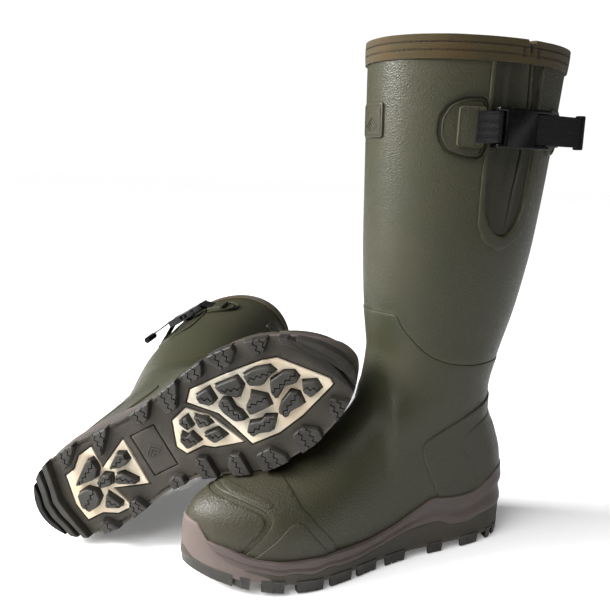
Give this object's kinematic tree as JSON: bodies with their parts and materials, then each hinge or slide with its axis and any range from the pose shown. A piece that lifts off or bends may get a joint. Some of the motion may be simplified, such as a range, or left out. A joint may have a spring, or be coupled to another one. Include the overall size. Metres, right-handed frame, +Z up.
{
  "type": "insulated hunting boots",
  "caption": "Pair of knee-high insulated rubber hunting boots with lugged soles, pale grip pads, side gussets and strap buckles; one stands, one lies across it.",
  "frame": {"origin": "on the ground under the standing left boot's heel, at the middle of its central heel lug", "axes": "+Z up; the standing boot's toe points along -X and its outer (buckle) side faces -Y"},
  "size_m": [0.4604, 0.5863, 0.4579],
  "materials": {
    "boot_rubber": "satin pebbled",
    "overlay_rubber": "satin",
    "tread_rubber": "matte",
    "midsole_rubber": "matte",
    "pad_rubber": "matte",
    "binding_tape": "woven",
    "lining": "brushed",
    "footbed_foam": "brushed",
    "webbing": "woven",
    "buckle_plastic": "glossy",
    "steel": "brushed"
  },
  "bodies": {
    "standing_boot": {"left_outsole": "tread_rubber", "left_forefoot_grip_pad": "pad_rubber", "left_waist_grip_pad": "pad_rubber", "left_heel_grip_pad": "pad_rubber", "left_midsole": "midsole_rubber", "left_shank": "steel", "left_toe_bumper": "overlay_rubber", "left_foot_shell": "boot_rubber", "left_shaft_shell": "boot_rubber", "left_toe_cap": "overlay_rubber", "left_vamp_overlay": "overlay_rubber", "left_heel_counter": "overlay_rubber", "left_foot_lining": "lining", "left_shaft_lining": "lining", "left_footbed": "footbed_foam", "left_gusset": "boot_rubber", "left_gusset_surround": "overlay_rubber", "left_top_binding": "binding_tape", "left_badge": "overlay_rubber", "left_front_strap_anchor": "overlay_rubber", "left_front_webbing": "webbing", "left_buckle_plug": "buckle_plastic", "left_rear_strap_anchor": "overlay_rubber", "left_rear_webbing": "webbing"},
    "left_buckle_release": {"left_buckle_socket": "buckle_plastic", "left_strap_tail": "webbing"},
    "left_upper_prong": {"left_buckle_prong_upper": "buckle_plastic"},
    "left_lower_prong": {"left_buckle_prong_lower": "buckle_plastic"},
    "lying_boot": {"right_outsole": "tread_rubber", "right_forefoot_grip_pad": "pad_rubber", "right_waist_grip_pad": "pad_rubber", "right_heel_grip_pad": "pad_rubber", "right_midsole": "midsole_rubber", "right_shank": "steel", "right_toe_bumper": "overlay_rubber", "right_foot_shell": "boot_rubber", "right_shaft_shell": "boot_rubber", "right_toe_cap": "overlay_rubber", "right_vamp_overlay": "overlay_rubber", "right_heel_counter": "overlay_rubber", "right_foot_lining": "lining", "right_shaft_lining": "lining", "right_footbed": "footbed_foam", "right_gusset": "boot_rubber", "right_gusset_surround": "overlay_rubber", "right_top_binding": "binding_tape", "right_badge": "overlay_rubber", "right_front_strap_anchor": "overlay_rubber", "right_front_webbing": "webbing", "right_buckle_plug": "buckle_plastic", "right_rear_strap_anchor": "overlay_rubber", "right_rear_webbing": "webbing"},
    "right_buckle_release": {"right_buckle_socket": "buckle_plastic", "right_strap_tail": "webbing"},
    "right_upper_prong": {"right_buckle_prong_upper": "buckle_plastic"},
    "right_lower_prong": {"right_buckle_prong_lower": "buckle_plastic"}
  },
  "joints": [
    {"name": "lift_off", "type": "slide", "parent": "standing_boot", "child": "lying_boot", "axis": [0, 0, 1], "range_m": [0, 0.2]},
    {"name": "left_buckle_pull", "type": "slide", "parent": "standing_boot", "child": "left_buckle_release", "axis": [1, 0, 0], "range_m": [0, 0.028], "deforming": ["left_buckle_prong_upper", "left_buckle_prong_lower", "left_rear_webbing"]},
    {"name": "left_upper_prong_squeeze", "type": "hinge", "parent": "standing_boot", "child": "left_upper_prong", "pos_m": [-0.0034, -0.07598, 0.3982], "axis": [0, 1, 0], "range_deg": [0, 7], "stiffness_Nm_per_rad": 0.6},
    {"name": "left_lower_prong_squeeze", "type": "hinge", "parent": "standing_boot", "child": "left_lower_prong", "pos_m": [-0.0034, -0.07598, 0.3758], "axis": [0, 1, 0], "range_deg": [-7, 0], "stiffness_Nm_per_rad": 0.6},
    {"name": "right_buckle_pull", "type": "slide", "parent": "lying_boot", "child": "right_buckle_release", "axis": [-0.678, 0.5135, -0.526], "range_m": [0, 0.028], "deforming": ["right_buckle_prong_upper", "right_buckle_prong_lower", "right_rear_webbing"]},
    {"name": "right_upper_prong_squeeze", "type": "hinge", "parent": "lying_boot", "child": "right_upper_prong", "pos_m": [-0.09417, 0.41648, 0.15185], "axis": [-0.4483, 0.2782, 0.8495], "range_deg": [0, 7], "stiffness_Nm_per_rad": 0.6},
    {"name": "right_lower_prong_squeeze", "type": "hinge", "parent": "lying_boot", "child": "right_lower_prong", "pos_m": [-0.10722, 0.3983, 0.15092], "axis": [-0.4483, 0.2782, 0.8495], "range_deg": [-7, 0], "stiffness_Nm_per_rad": 0.6}
  ],
  "couplings": [
    {"joint": "left_lower_prong_squeeze", "follows": "left_upper_prong_squeeze", "ratio": -1},
    {"joint": "right_lower_prong_squeeze", "follows": "right_upper_prong_squeeze", "ratio": -1}
  ]
}
